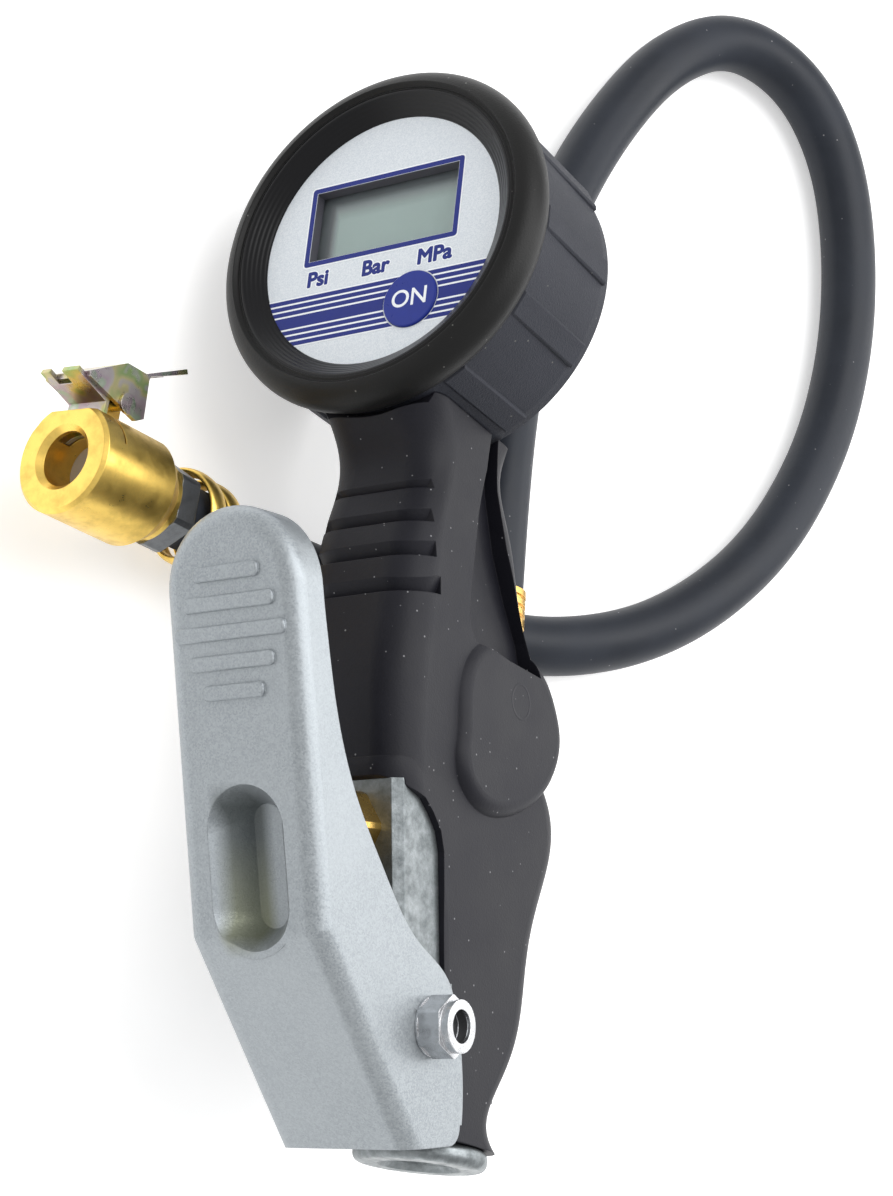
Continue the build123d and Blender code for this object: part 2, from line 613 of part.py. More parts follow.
def pivot_lock_nut():
    """Self-locking nut with a collar for its plastic ring."""
    x, y, z = PIVOT
    seat = TRIGGER_X + RUNNING_GAP + WASHER_T
    nut = hex_bar(NUT_AF, seat, seat + 4.4, "X") & rod(5.6, seat, seat + 4.4, "X")
    nut += rod(4.7, seat + 4.4, seat + NUT_H, "X")
    nut = nut - rod(BOLT_R, seat - 1, seat + 8, "X") - rod(4.1, seat + 3.5, seat + 5.3, "X")
    return Pos(0, y, z) * nut


def lock_nut_ring():
    """Plastic locking ring in the nut's collar."""
    x, y, z = PIVOT
    seat = TRIGGER_X + RUNNING_GAP + WASHER_T
    return Pos(0, y, z) * (rod(4.1, seat + 3.5, seat + 5.3, "X") - rod(BOLT_R, 0, 40, "X"))


# ================================================================ valve train
def gland_nut():
    """Brass gland that guides the stem and holds its seal."""
    gland = rod(6.0, BOX_FRONT, -14.0, "Y")
    collar = hex_bar(GLAND_AF, GLAND_FRONT + 5.0, BOX_FRONT, "Y")
    collar = collar & rod(7.2, GLAND_FRONT, BOX_FRONT, "Y")
    gland += collar + rod(5.0, GLAND_FRONT, GLAND_FRONT + 5.0, "Y")
    gland -= rod(STEM_R + RUNNING_GAP, -40, 0, "Y") + rod(4.1, -16.0, -13.0, "Y")
    return Pos(0, 0, VALVE_Z) * gland


def stem_seal():
    """Rubber ring that seals the stem inside the gland."""
    return Pos(0, 0, VALVE_Z) * (rod(4.1, -16.0, -14.1, "Y") - rod(STEM_R + 0.02, -17, -13, "Y"))


def valve_stem():
    """Valve stem with a domed tip, a waist through the seat and a poppet head."""
    stem = rod(STEM_R, STEM_TIP_Y, -8.5, "Y")
    stem = fillet(stem.edges().sort_by(Axis.Y)[0], 1.8)
    stem += rod(1.6, -8.5, 3.6, "Y") + rod(4.8, 3.6, 5.4, "Y") + rod(1.4, 5.4, 9.0, "Y")
    return Pos(0, 0, VALVE_Z) * stem


def valve_seal():
    """Rubber disc on the poppet head."""
    return Pos(0, 0, VALVE_Z) * (rod(4.8, SEAT_Y + 0.05, 3.6, "Y") - rod(1.6, 0, 5, "Y"))


def valve_spring():
    """Return spring between the poppet head and the rear plug."""
    first = 5.4 + SPRING_WIRE / 2 + 0.05
    last = PLUG_FACE_Y - SPRING_WIRE / 2 - 0.05
    spring = coil(SPRING_R, Circle(SPRING_WIRE / 2), 2.0, last - first, first)
    return Pos(0, 0, VALVE_Z) * Rot(-90, 0, 0) * spring


def valve_plug():
    """Brass plug that closes the back of the valve bore."""
    plug = rod(7.0, PLUG_FACE_Y, BOX_BACK, "Y")
    return Pos(0, 0, VALVE_Z) * (plug - hex_bar(6.0, BOX_BACK - 3.5, BOX_BACK + 1, "Y"))


# ================================================================ hose
def hose_adapter():
    """Brass nipple screwed into the outlet, with a barb up the hose."""
    thread = Pos(0, 0, -2.5) * Cylinder(4.8, 5)
    collar = extrude(RegularPolygon(7 / cos(pi / 6), 6), 5.5)
    barb = Pos(0, 0, 12.0) * Cylinder(3.2, 13.0)
    nipple = thread + collar + barb
    return outlet_frame() * (nipple - Cylinder(1.8, 60))


def hose_ferrule():
    """Crimped brass sleeve at the body end of the hose."""
    sleeve = spun([(3.2, 5.5), (5.0, 5.5), (5.0, 11.0), (7.1, 13.3), (7.1, OUTLET_REACH - 0.1),
                   (3.2, OUTLET_REACH - 0.1)])
    for z in (15.5, 17.5, 19.5):
        sleeve -= rod(8.0, z - 0.4, z + 0.4) - rod(6.7, z - 0.4, z + 0.4)
    return outlet_frame() * sleeve


def hose_path():
    """The hose's centre line: straight runs joined by tangent arcs."""
    points = [Vector(*p) for p in HOSE_ROUTE]
    radii = []
    for before, here, after in zip(points, points[1:], points[2:]):
        into, out = here - before, after - here
        half_turn = radians(into.get_angle(out)) / 2
        radii.append(ARC_SHARE * min(into.length, out.length) / tan(half_turn))
    print("hose arc radii (mm):", [round(r, 1) for r in radii])
    print("hose runs (mm):", [round((b - a).length, 1) for a, b in zip(points, points[1:])])
    return FilletPolyline(*points, radius=radii)


def air_hose():
    """Rubber hose from the ferrule to the chuck."""
    path = hose_path()
    start = Plane(origin=path @ 0, z_dir=path % 0)
    hose = sweep(start * Circle(HOSE_R), path=path)
    print("hose length (mm):", round(path.length, 1), "volume ratio:",
          round(hose.volume / (pi * HOSE_R ** 2 * path.length), 4))
    return hose


# ================================================================ chuck
def chuck_nut():
    """Steel hexagon that clamps the hose in the chuck."""
    nut = hex_bar(16.0, 0, NUT_LENGTH) & rod(8.9, 0, NUT_LENGTH)
    return nut - rod(3.4, -1, NUT_LENGTH + 1)


def chuck_barb():
    """Brass tube that joins the hose, the nut and the chuck."""
    return rod(3.4, 0, CHUCK_SEAT - 3.5) - rod(1.8, -1, CHUCK_SEAT)


def chuck_body():
    """Brass chuck with the bore for the tyre valve and a slot for the clip's jaw."""
    body = spun([(0, NUT_LENGTH), (8.4, NUT_LENGTH), (8.4, NUT_LENGTH + 1.2), (CHUCK_R, NUT_LENGTH + 5.2),
                 (CHUCK_R, CHUCK_LENGTH - 0.7), (CHUCK_R - 0.7, CHUCK_LENGTH), (0, CHUCK_LENGTH)])
    body -= Pos(CHUCK_FLAT + 2.0, 0, CHUCK_LENGTH / 2) * Box(4.0, 24.0, 60)
    body -= Rot(0, 0, 50) * Pos(CHUCK_FLAT + 3.0, 0, CHUCK_LENGTH - 3) * Box(4.0, 10.0, 9.0)
    hinge = block((CHUCK_FLAT - 0.5, CLIP_PIN[1] + 2.0), (-2.4, 2.4), (CLIP_PIN[0] - 2.2, CLIP_PIN[0] + 2.2))
    body += fillet(hinge.edges().filter_by(Axis.Y).group_by(Axis.X)[-1], 2.0)
    body -= pin_bar(1.25, -4, 4)
    body -= rod(3.4, NUT_LENGTH - 1, CHUCK_SEAT - 3.5)
    body -= Pos(0, 0, CHUCK_SEAT - 2.0) * Cylinder(1.8, 6.0)
    body -= rod(CHUCK_BORE_R, CHUCK_SEAT, CHUCK_LENGTH + 1) + rod(SEAL_R, CHUCK_SEAT, CHUCK_SEAT + SEAL_T)
    body -= Pos(0, 0, CHUCK_LENGTH - 0.5) * Cone(CHUCK_BORE_R, CHUCK_BORE_R + 1.2, 1.2)
    body -= block((4.0, 13.0), (-4.7, 4.7), (JAW_Z[0] - 0.4, JAW_Z[1] + 1.8))
    slit = block((3.6, 13.0), (-13.0, -5.6), (JAW_Z[0] - 0.8, JAW_Z[0] - 0.3))
    return body - slit


def pin_bar(radius, low, high):
    """A bar on the clip's pivot axis."""
    along, out = CLIP_PIN
    return Pos(out, (low + high) / 2, along) * Rot(90, 0, 0) * Cylinder(radius, high - low)


def chuck_seal():
    """Rubber washer that seals on the tyre valve's mouth."""
    return rod(SEAL_R, CHUCK_SEAT, CHUCK_SEAT + SEAL_T) - rod(2.4, CHUCK_SEAT - 1, CHUCK_SEAT + 4)


def chuck_depressor():
    """Fixed pin, with flats for the air, that opens the tyre valve's core."""
    pin = rod(1.8, CHUCK_SEAT - 3.4, CHUCK_SEAT) + rod(1.1, CHUCK_SEAT - 0.5, CHUCK_SEAT + 2.3)
    for side in (-1, 1):
        pin -= Pos(0, side * 2.0, CHUCK_SEAT - 2.0) * Box(5.0, 1.8, 5.0)
    return pin


def bent_strip(points, half_width):
    """A strip with an (x, z) outline in the chuck frame, across it along y."""
    outline = make_face(Polyline(*[(x, 0, z) for x, z in points], close=True))
    return extrude(outline, amount=half_width, dir=(0, 1, 0), both=True)


def clip_lever():
    """Stamped thumb lever of the clip, folded round both sides of the chuck."""
    ear_outline = [(14.6, 32.2), (19.7, 22.9), (19.6, 16.8), (12.0, 16.4), (10.9, 18.4)]
    ears = [Pos(0, side * 5.15, 0) * bent_strip(ear_outline, 0.5) for side in (-1, 1)]
    web = bent_strip([(14.6, 32.2), (15.5, 32.6), (20.7, 23.2), (19.7, 22.7)], 5.65)
    back = bent_strip([(20.7, 23.2), (20.6, 16.6), (19.6, 16.8), (19.7, 23.2)], 5.65)
    tab = bent_strip([(20.6, 16.6), (20.6, 17.8), (26.4, 6.0), (25.5, 5.5)], 4.6)
    tab += bent_strip([(20.6, 16.6), (20.6, 17.8), (19.6, 17.8), (19.6, 16.8)], 5.65)
    tab -= block((17, 30), (-1.7, 1.7), (0, 11.5))
    lever = web + back + tab + ears
    return lever - pin_bar(1.3, -7, 7)


def clip_jaw():
    """Hardened jaw that bites the thread of the tyre valve."""
    rear, front = JAW_Z
    jaw = bent_strip([(4.2, rear), (12.6, rear), (15.9, 34.4), (15.0, 34.8), (12.0, front), (4.2, front)], 4.65)
    jaw -= rod(CHUCK_BORE_R + 0.05, rear - 1, front + 1)
    return jaw - block((13.9, 22), (-0.7, 2.5), (front, 40)) - clip_web_room()


def clip_web_room():
    """Room in the jaw for the lever's web."""
    return bent_strip([(14.55, 32.2), (15.55, 32.7), (20.7, 23.2), (19.7, 22.7)], 6)


def clip_pin():
    """Rivet that the clip turns on."""
    return pin_bar(1.25, -6.2, 6.2) + pin_bar(2.0, 5.7, 6.3) + pin_bar(2.0, -6.3, -5.7)


def clip_spring():
    """Small torsion spring round the rivet that closes the clip."""
    along, out = CLIP_PIN
    return Pos(out, 2.75, along) * Rot(-90, 0, 0) * coil(1.7, Circle(0.25), 0.55, 1.4)


def spring_guard():
    """Tapered brass coil that keeps the hose from kinking at the chuck."""
    strip = Ellipse(0.8, 2.3)
    height = GUARD_TURNS * GUARD_PITCH
    return coil(HOSE_R + 1.3, strip, GUARD_PITCH, height, -height - 2.5, GUARD_CONE)


# ================================================================ assembly
def build():
    """Makes every piece and places it in the row frame."""
    tool = lifted_row_location()
    gauge = tool * gauge_frame().location
    chuck = centring() * chuck_frame().location
    for maker in (gauge_boot, gauge_case, gauge_bezel, dial_face, lcd_window, lcd_panel,
                  lcd_contact_strips, circuit_board, board_screws, on_button, button_switch,
                  battery, battery_holder, battery_contact, battery_cover, pressure_sensor,
                  gauge_stem, gauge_seal_washer):
        keep(maker.__name__, maker(), gauge)
    for maker in (valve_body, gallery_plug, inlet_filter, grip_sleeve, trigger_lever, pivot_bush,
                  pivot_washers, pivot_bolt, pivot_lock_nut, lock_nut_ring, gland_nut, stem_seal,
                  valve_stem, valve_seal, valve_spring, valve_plug, hose_adapter, hose_ferrule):
        keep(maker.__name__, maker(), tool)
    for maker in (chuck_nut, chuck_barb, chuck_body, chuck_seal, chuck_depressor, clip_lever,
                  clip_jaw, clip_pin, clip_spring, spring_guard):
        keep(maker.__name__, maker(), chuck)
    keep("air_hose", air_hose(), centring())


build()
os.makedirs("parts", exist_ok=True)
for name, solid in parts.items():
    export_step(solid, f"parts/{name}.step")
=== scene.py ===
from math import cos, pi, radians, sin, sqrt

import bmesh
import bpy
from mathutils import Matrix, Vector


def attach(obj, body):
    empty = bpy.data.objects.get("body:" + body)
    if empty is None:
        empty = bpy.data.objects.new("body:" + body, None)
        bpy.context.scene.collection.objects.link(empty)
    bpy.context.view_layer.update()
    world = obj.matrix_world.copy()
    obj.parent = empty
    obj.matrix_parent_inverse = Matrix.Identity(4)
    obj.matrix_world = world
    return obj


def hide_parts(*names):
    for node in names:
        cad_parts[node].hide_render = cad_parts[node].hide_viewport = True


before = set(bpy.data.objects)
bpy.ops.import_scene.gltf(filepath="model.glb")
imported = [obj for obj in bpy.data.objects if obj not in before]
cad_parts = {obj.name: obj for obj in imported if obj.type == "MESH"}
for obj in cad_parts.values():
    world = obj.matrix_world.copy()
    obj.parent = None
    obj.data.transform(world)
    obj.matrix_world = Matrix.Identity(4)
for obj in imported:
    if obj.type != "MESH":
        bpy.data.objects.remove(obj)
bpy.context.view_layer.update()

# ---------------------------------------------------------------- frames
# Four working frames, in millimetres, each with a matrix to the row frame in metres:
# TOOL (Z up the grip, -Y to the trigger), GAUGE (x right, y up the dial, z out of it),
# INLET (Z up the leaning inlet) and CHUCK (z from the hose end to the nose, x out to the clip).
ROLL = 30.0
REST_HEIGHT = 39.73
PLAN_CENTRE = (-10.63, 105.24)
DIAL_CENTRE = (0, -10.1, 177.1)
DIAL_TILT = 12.0
INLET_LEAN = 12.0
HOSE_RADIUS = 6.5
HOSE_ROUTE = [
    (26.35, 113.04, 24.51), (29.2, 133.9, 22.9), (35.0, 158.0, 18.8), (44.5, 186.0, 12.4),
    (57.0, 210.0, 7.9), (71.0, 231.0, 6.6), (86.5, 248.0, 6.5), (105.0, 257.0, 6.5),
    (123.5, 250.5, 6.5), (134.5, 234.0, 6.5), (138.0, 211.0, 6.5), (135.5, 183.0, 6.5),
    (126.0, 155.5, 6.5), (107.5, 129.5, 6.5), (80.0, 111.0, 6.5), (50.0, 104.5, 6.5),
    (22.0, 108.5, 6.5), (-21.55, 121.7, 6.6), (-42.41, 125.38, 17.87),
]


def columns(x, y, z, origin):
    """A 4x4 matrix from three axes and an origin."""
    rows = [(x[i], y[i], z[i], origin[i]) for i in range(3)]
    return Matrix(rows + [(0, 0, 0, 1)])


roll = radians(ROLL)
tilt = radians(DIAL_TILT)
lean = radians(INLET_LEAN)
SCALE = Matrix.Scale(0.001, 4)
TOOL = SCALE @ columns((sin(roll), 0, cos(roll)), (cos(roll), 0, -sin(roll)), (0, 1, 0),
                       (-PLAN_CENTRE[0], -PLAN_CENTRE[1], REST_HEIGHT))
GAUGE = TOOL @ columns((1, 0, 0), (0, sin(tilt), cos(tilt)), (0, -cos(tilt), sin(tilt)), DIAL_CENTRE)
INLET = TOOL @ columns((1, 0, 0), (0, cos(lean), -sin(lean)), (0, sin(lean), cos(lean)), (0, 0, 0))
CENTRED = [Vector((x - PLAN_CENTRE[0], y - PLAN_CENTRE[1], z)) for x, y, z in HOSE_ROUTE]
along = (CENTRED[-1] - CENTRED[-2]).normalized()
out = Vector((along.y, -along.x, 0)).normalized()
CHUCK = SCALE @ columns(out, along.cross(out), along, CENTRED[-1])


# ---------------------------------------------------------------- camera
CAMERA_AZIMUTH = radians(31.6)
CAMERA_ELEVATION = radians(-10.3)
CAMERA_ROLL = radians(0.82)
CAMERA_DISTANCE = 445.4
CAMERA_AIM_RIGHT = 6.65
CAMERA_AIM_HEIGHT = 107.1
SENSOR_HEIGHT = 24.0
FOCAL_IN_HEIGHTS = 2300 / 1196


def make_camera():
    """The camera stands above the floor and looks down on the tool as it lies."""
    a, e = CAMERA_AZIMUTH, CAMERA_ELEVATION
    back = Vector((sin(a) * cos(e), -cos(a) * cos(e), sin(e)))
    right = Vector((cos(a), sin(a), 0))
    up = back.cross(right)
    turned_right = cos(CAMERA_ROLL) * right - sin(CAMERA_ROLL) * up
    turned_up = sin(CAMERA_ROLL) * right + cos(CAMERA_ROLL) * up
    aim = Vector((0, 0, CAMERA_AIM_HEIGHT)) + CAMERA_AIM_RIGHT * right
    place = TOOL @ columns(turned_right, turned_up, back, aim + CAMERA_DISTANCE * back)
    data = bpy.data.cameras.new("camera")
    data.sensor_fit = "VERTICAL"
    data.sensor_height = SENSOR_HEIGHT
    data.lens = FOCAL_IN_HEIGHTS * SENSOR_HEIGHT
    data.clip_start = 0.01
    camera = bpy.data.objects.new("camera", data)
    location, rotation, _ = place.decompose()
    camera.location = location
    camera.rotation_euler = rotation.to_euler()
    bpy.context.scene.collection.objects.link(camera)
    bpy.context.scene.camera = camera


make_camera()


# ---------------------------------------------------------------- hose
def make_hose():
    """One smooth rubber hose from the ferrule to the chuck."""
    data = bpy.data.curves.new("hose", "CURVE")
    data.dimensions = "3D"
    data.bevel_depth = 1.0
    data.bevel_resolution = 12
    data.resolution_u = 16
    data.use_fill_caps = True
    spline = data.splines.new("NURBS")
    spline.points.add(len(CENTRED) - 1)
    for point, place in zip(spline.points, CENTRED):
        point.co = (place.x / 1000, place.y / 1000, place.z / 1000, 1)
        point.radius = HOSE_RADIUS / 1000
    spline.order_u = 3
    spline.use_endpoint_u = True
    hose = bpy.data.objects.new("hose", data)
    bpy.context.scene.collection.objects.link(hose)
    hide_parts("air_hose")
    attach(hose, "tool")
    return hose


hose = make_hose()


# ---------------------------------------------------------------- node helpers
class Shader:
    """A material being built: adds nodes and links them in one call."""

    def __init__(self, name, colour, roughness, metallic=0.0):
        self.material = bpy.data.materials.new(name)
        self.material.use_nodes = True
        self.tree = self.material.node_tree
        self.bsdf = self.tree.nodes["Principled BSDF"]
        self.bsdf.inputs["Base Color"].default_value = (*colour, 1)
        self.bsdf.inputs["Roughness"].default_value = roughness
        self.bsdf.inputs["Metallic"].default_value = metallic
        self.place = self.node("ShaderNodeTexCoord").outputs["Object"]
        self.normal = None

    def node(self, kind, inputs=None, **settings):
        made = self.tree.nodes.new(kind)
        for key, value in settings.items():
            setattr(made, key, value)
        for key, value in (inputs or {}).items():
            self.feed(made.inputs[key], value)
        return made

    def feed(self, socket, value):
        if isinstance(value, bpy.types.NodeSocket):
            self.tree.links.new(value, socket)
        else:
            socket.default_value = value

    def set(self, name, value):
        self.feed(self.bsdf.inputs[name], value)

    def noise(self, per_mm, detail=3.0, rough=0.6, place=None):
        made = self.node("ShaderNodeTexNoise", {
            "Vector": place or self.place, "Scale": per_mm * 1000, "Detail": detail, "Roughness": rough})
        return made.outputs["Fac"]

    def cells(self, per_mm, place=None):
        made = self.node("ShaderNodeTexVoronoi", {"Vector": place or self.place, "Scale": per_mm * 1000})
        return made

    def spread(self, value, low, high, to_low=0.0, to_high=1.0):
        made = self.node("ShaderNodeMapRange", {
            "Value": value, "From Min": low, "From Max": high, "To Min": to_low, "To Max": to_high})
        return made.outputs["Result"]

    def maths(self, operation, a, b=0.0):
        made = self.node("ShaderNodeMath", {0: a, 1: b}, operation=operation)
        return made.outputs[0]

    def distance(self, a, b):
        """Length of the flat vector (a, b)."""
        squares = self.maths("ADD", self.maths("MULTIPLY", a, a), self.maths("MULTIPLY", b, b))
        return self.maths("SQRT", squares)

    def mix(self, factor, a, b):
        made = self.node("ShaderNodeMix", {"Factor": factor}, data_type="RGBA")
        for socket, colour in ((made.inputs[6], a), (made.inputs[7], b)):
            self.feed(socket, colour if isinstance(colour, bpy.types.NodeSocket) else (*colour, 1))
        return made.outputs[2]

    def bump(self, height, depth_mm, strength=1.0):
        inputs = {"Height": height, "Distance": depth_mm / 1000, "Strength": strength}
        if self.normal:
            inputs["Normal"] = self.normal
        self.normal = self.node("ShaderNodeBump", inputs).outputs["Normal"]
        self.set("Normal", self.normal)

    def soften(self, radius_mm):
        """Rounds sharp edges by a small radius, as a moulded or tumbled edge is."""
        self.normal = self.node("ShaderNodeBevel", {"Radius": radius_mm / 1000}, samples=6).outputs["Normal"]
        self.set("Normal", self.normal)

    def local(self, matrix):
        """Coordinates of the surface point in one of the working frames, in millimetres."""
        inverse = matrix.inverted()
        location, rotation, scale = inverse.decompose()
        mapping = self.node("ShaderNodeMapping", {
            "Vector": self.place, "Location": location, "Rotation": rotation.to_euler(), "Scale": scale})
        parts = self.node("ShaderNodeSeparateXYZ", {"Vector": mapping.outputs[0]})
        return mapping.outputs[0], parts.outputs

    def specks(self, per_mm, size, amount):
        """A mask of small sparse specks, for dust and flakes."""
        cells = self.cells(per_mm)
        near = self.spread(cells.outputs["Distance"], size, size * 0.5)
        chosen = self.node("ShaderNodeSeparateColor", {"Color": cells.outputs["Color"]})
        return self.maths("MULTIPLY", near, self.maths("LESS_THAN", chosen.outputs[0], amount))


def paint(names, material):
    """Gives a material to CAD nodes or new pieces."""
    for item in names:
        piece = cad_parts[item] if isinstance(item, str) else item
        slots = piece.data.materials
        slots.clear()
        slots.append(material)


# ---------------------------------------------------------------- materials
RUBBER_SHEEN = 0.22        # rubber is less glossy than hard plastic


def rubber(name, colour, roughness, grain_mm, grain_depth, speck=0.0, dusty=(0.2, 0.2, 0.21)):
    """Dark moulded rubber: a fine grain, slow patches of sheen and a little dust."""
    shader = Shader(name, colour, roughness)
    shader.soften(0.25)
    patches = shader.noise(0.05, 4.0)
    lighter = tuple(c * 1.35 + 0.001 for c in colour)
    tone = shader.mix(shader.spread(patches, 0.35, 0.7), colour, lighter)
    if speck:
        tone = shader.mix(shader.specks(0.7, 0.16, speck), tone, dusty)
    shader.set("Base Color", tone)
    shader.set("Specular IOR Level", RUBBER_SHEEN)
    shader.set("Roughness", shader.spread(patches, 0.3, 0.7, roughness - 0.06, roughness + 0.06))
    shader.bump(shader.noise(1 / grain_mm, 3.0, 0.6), grain_depth)
    return shader


def boot_rubber():
    """The boot: its sides are stippled, and its round front rim is smoother."""
    shader = Shader("boot_rubber", (0.016, 0.016, 0.018), 0.5)
    shader.soften(0.35)
    _, place = shader.local(GAUGE)
    side = shader.spread(place["Z"], -3.5, -5.0)
    patches = shader.noise(0.06, 4.0)
    sides = shader.mix(patches, (0.018, 0.020, 0.027), (0.030, 0.032, 0.043))
    tone = shader.mix(side, (0.008, 0.008, 0.008), sides)
    tone = shader.mix(shader.specks(0.6, 0.14, 0.10), tone, (0.14, 0.14, 0.13))
    shader.set("Base Color", tone)
    shader.set("Specular IOR Level", RUBBER_SHEEN)
    shader.set("Roughness", shader.spread(side, 0, 1, 0.42, 0.58))
    stipple = shader.maths("MULTIPLY", shader.noise(2.6, 2.0, 0.7), shader.spread(side, 0, 1, 0.35, 1.0))
    shader.bump(stipple, 0.15)
    return shader.material


MOULD_MARK = (16.5, 87.5)  # (Y, Z) of the ring in the tool frame
MOULD_MARK_R = 3.4
MOULD_MARK_LINE = 0.35


def grip_rubber():
    """Soft-touch grip with scuffs, dust and one faint round mould mark on each lobe."""
    shader = rubber("grip_rubber", (0.008, 0.008, 0.012), 0.50, 0.45, 0.035, speck=0.16)
    shader.bump(shader.noise(0.35, 5.0, 0.7), 0.03)
    _, place = shader.local(TOOL)
    from_y = shader.maths("SUBTRACT", place["Y"], MOULD_MARK[0])
    from_z = shader.maths("SUBTRACT", place["Z"], MOULD_MARK[1])
    off_ring = shader.maths("SUBTRACT", shader.distance(from_y, from_z), MOULD_MARK_R)
    off_ring = shader.maths("ABSOLUTE", off_ring)
    shader.bump(shader.spread(off_ring, 0.0, MOULD_MARK_LINE, 1.0, 0.0), 0.06)
    return shader.material


def hose_rubber():
    """Smooth blue-grey rubber with soft mottling and faint rub marks."""
    shader = rubber("hose_rubber", (0.017, 0.020, 0.027), 0.45, 0.8, 0.02, speck=0.05)
    shader.bump(shader.noise(0.09, 3.0, 0.5), 0.15)
    return shader.material


# The trigger's dimple gets painted shade and a painted olive reflection on its left wall.
DIMPLE_Z = 52.5
DIMPLE_HALF = 13.0
DIMPLE_LEFT = (-7.5, -5.5)   # the painted shade fades in over this stretch of X
DIMPLE_RIGHT = (1.0, -1.5)   # and out over this one
# how the painted shade fades at the dimple's ends, and how strong it is
DIMPLE_SHADE_FADE = 2.0
DIMPLE_SHADE_STRENGTH = 0.75


def dimple_painted_shade(shader, tone):
    """Paints the left wall of the trigger's dimple: a painted olive reflection below and painted shade, near
    black, above.
    """
    _, place = shader.local(TOOL)
    across = shader.maths("MULTIPLY", shader.spread(place["X"], *DIMPLE_LEFT),
                          shader.spread(place["X"], *DIMPLE_RIGHT))
    level = shader.maths("ABSOLUTE", shader.maths("SUBTRACT", place["Z"], DIMPLE_Z))
    ends = shader.spread(level, DIMPLE_HALF + DIMPLE_SHADE_FADE, DIMPLE_HALF - DIMPLE_SHADE_FADE)
    inside = shader.maths("MULTIPLY", across, ends)
    rise = shader.spread(place["Z"], DIMPLE_Z - 8, DIMPLE_Z + 6)
    # painted reflection, olive, below; painted shade, near black, above
    shade_and_reflection = shader.mix(rise, (0.20, 0.21, 0.12), (0.05, 0.06, 0.055))
    return shader.mix(shader.maths("MULTIPLY", inside, DIMPLE_SHADE_STRENGTH), tone, shade_and_reflection)


def trigger_paint():
    """Silver powder coat: metal flakes under a fine orange peel."""
    shader = Shader("trigger_paint", (0.30, 0.33, 0.35), 0.40, 0.60)
    shader.soften(0.3)
    flakes = shader.cells(3.4)
    value = shader.node("ShaderNodeSeparateColor", {"Color": flakes.outputs["Color"]}).outputs[0]
    slow = shader.noise(0.05, 4.0)
    tone = shader.mix(value, (0.26, 0.285, 0.305), (0.37, 0.40, 0.42))
    tone = shader.mix(shader.spread(slow, 0.35, 0.75, 0.0, 0.35), tone, (0.40, 0.43, 0.45))
    # painted shade and painted reflection on the dimple's left wall
    tone = dimple_painted_shade(shader, tone)
    shader.set("Base Color", tone)
    shader.set("Roughness", shader.spread(value, 0, 1, 0.34, 0.50))
    shader.bump(value, 0.02)
    shader.bump(shader.noise(0.9, 2.0), 0.035)
    return shader.material


def cast_alloy():
    """Tumbled die casting: cool grey and pitted, with softened edges."""
    shader = Shader("cast_alloy", (0.20, 0.22, 0.225), 0.45, 0.85)
    shader.soften(0.3)
    blotches = shader.noise(0.35, 6.0, 0.7)
    tone = shader.mix(shader.spread(blotches, 0.3, 0.7), (0.12, 0.135, 0.14), (0.30, 0.325, 0.335))
    shader.set("Base Color", tone)
    shader.set("Roughness", shader.spread(blotches, 0.3, 0.7, 0.55, 0.34))
    shader.bump(shader.noise(1.4, 4.0, 0.7), 0.06)
    return shader.material


def metal(name, colour, roughness, stain=0.25, scratch=0.02, edge=0.2):
    """Bare or plated metal with tool marks, stains and softened edges."""
    shader = Shader(name, colour, roughness, 1.0)
    shader.soften(edge)
    blotches = shader.noise(0.22, 5.0, 0.65)
    darker = tuple(c * (1 - stain * 1.6) for c in colour)
    tone = shader.mix(shader.spread(blotches, 0.45, 0.75), colour, darker)
    shader.set("Base Color", tone)
    shader.set("Roughness", shader.spread(blotches, 0.3, 0.7, roughness * 0.8, roughness * 1.3))
    shader.bump(shader.noise(1.8, 4.0, 0.7), scratch)
    return shader


def chuck_brass():
    """Satin machined brass with fine turning rings round the chuck's axis."""
    shader = metal("chuck_brass", (0.90, 0.62, 0.15), 0.32, stain=0.20, scratch=0.006)
    _, place = shader.local(CHUCK)
    along_axis = shader.node("ShaderNodeCombineXYZ", {"X": place["Z"]}).outputs[0]
    rings = shader.noise(0.0045, 4.0, 0.7, along_axis)
    shader.bump(rings, 0.012)
    return shader.material


def clip_plate():
    """Yellow zinc plate, with its bands of green, gold and violet."""
    shader = metal("clip_plate", (0.40, 0.37, 0.28), 0.28, scratch=0.015, edge=0.15)
    band = shader.noise(0.16, 2.0, 0.5)
    ramp = shader.node("ShaderNodeValToRGB", {"Fac": band})
    elements = ramp.color_ramp.elements
    colours = [(0.36, (0.30, 0.40, 0.16)), (0.46, (0.52, 0.46, 0.24)), (0.52, (0.46, 0.42, 0.40)),
               (0.60, (0.42, 0.33, 0.36)), (0.68, (0.34, 0.42, 0.30))]
    elements[0].position, elements[1].position = 0.30, 0.78
    elements[0].color = (0.44, 0.42, 0.38, 1)
    elements[1].color = (0.52, 0.50, 0.46, 1)
    for position, colour in colours:
        elements.new(position).color = (*colour, 1)
    shader.set("Base Color", ramp.outputs["Color"])
    return shader.material


# painted shade on the walls of the dial's openings fades in over this range of z
OPENING_SHADE_Z = (-0.08, -0.12)


def dial_silver():
    """Silver printed plate: fine bright flakes, with painted shade on the walls of its openings."""
    shader = Shader("dial_silver", (0.62, 0.66, 0.70), 0.42, 0.25)
    value = shader.node("ShaderNodeSeparateColor", {"Color": shader.cells(4.5).outputs["Color"]}).outputs[0]
    plate = shader.mix(value, (0.56, 0.605, 0.65), (0.68, 0.715, 0.745))
    _, place = shader.local(GAUGE)
    # painted shade: the walls of the openings below the face go dark
    shader.set("Base Color", shader.mix(shader.spread(place["Z"], *OPENING_SHADE_Z), plate, (0.10, 0.10, 0.12)))
    shader.bump(value, 0.004)
    return shader.material


